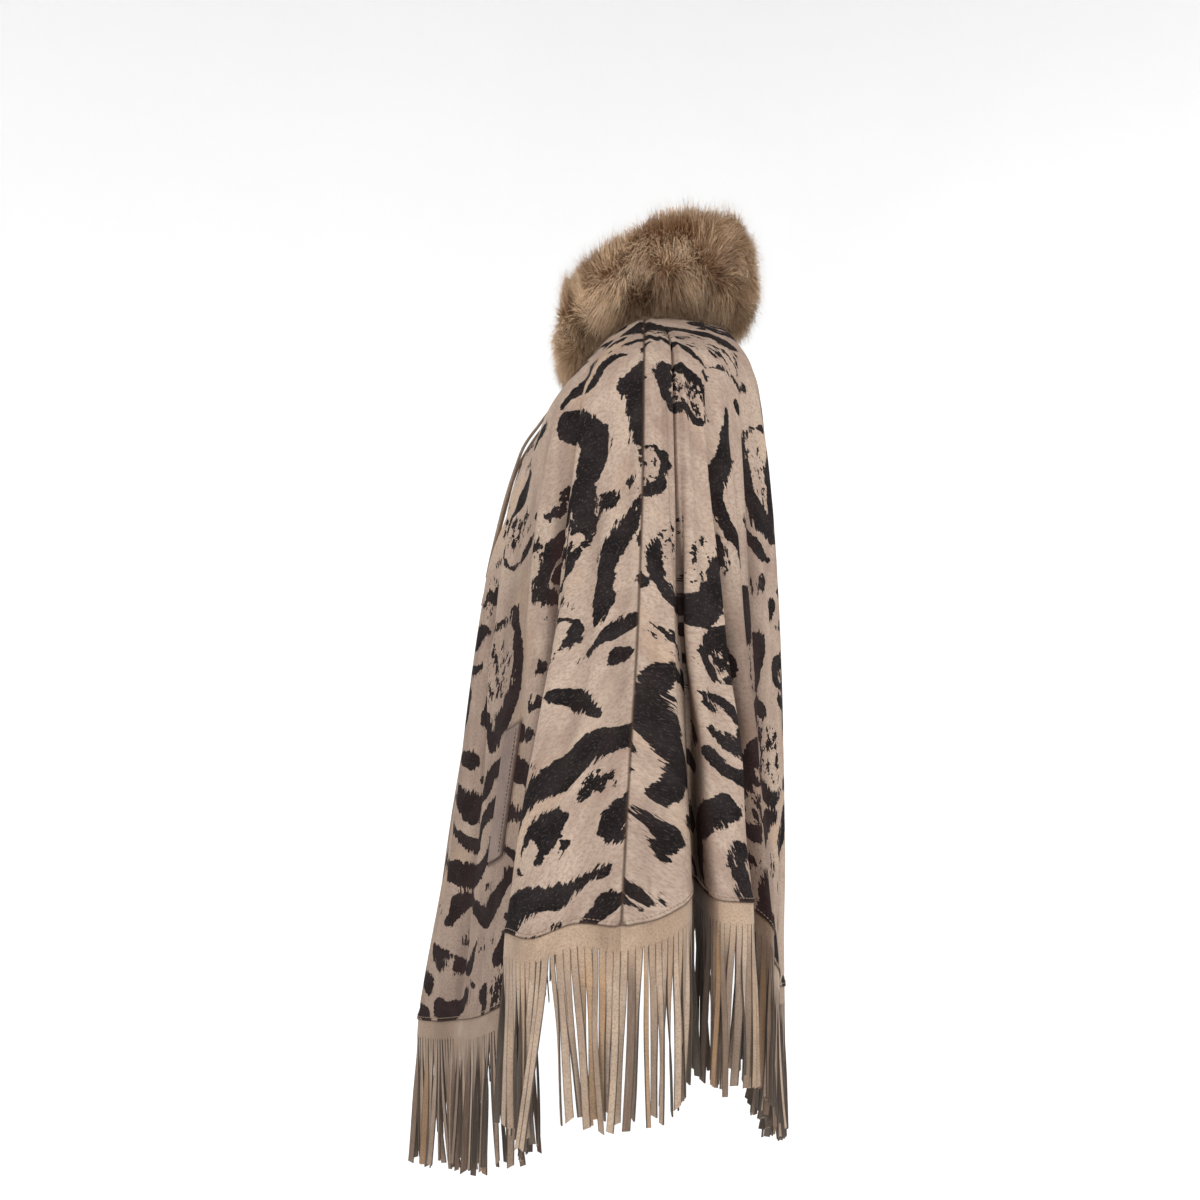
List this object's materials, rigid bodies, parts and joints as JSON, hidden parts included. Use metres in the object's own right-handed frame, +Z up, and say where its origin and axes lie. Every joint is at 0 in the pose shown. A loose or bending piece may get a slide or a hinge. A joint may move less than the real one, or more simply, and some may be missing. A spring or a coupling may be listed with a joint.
{
  "type": "fringed suede cape",
  "caption": "Hip-length suede cape with a fur collar, neck ties, slanted pocket welts and a deep slit leather fringe all round the hem, in its worn shape.",
  "frame": {"origin": "middle of the neck base, at the height of the neckline's two side points", "axes": "+Z up, -Y the garment's front, +X the wearer's left"},
  "size_m": [0.6871, 0.369, 0.9353],
  "materials": {
    "suede": "napped suede with a dark brush-stroke animal print",
    "fringe": "soft unprinted suede",
    "fur": "long dense fur",
    "smooth_leather": "smooth and slightly satin"
  },
  "bodies": {
    "root": {"front_left": "suede", "front_right": "suede", "back": "suede", "fringe_front_left": "fringe", "fringe_front_right": "fringe", "fringe_back": "fringe", "fur_collar": "fur", "pocket_welt_left": "smooth_leather", "pocket_welt_right": "smooth_leather", "tie_cord_left": "smooth_leather", "tie_cord_right": "smooth_leather"}
  },
  "joints": []
}
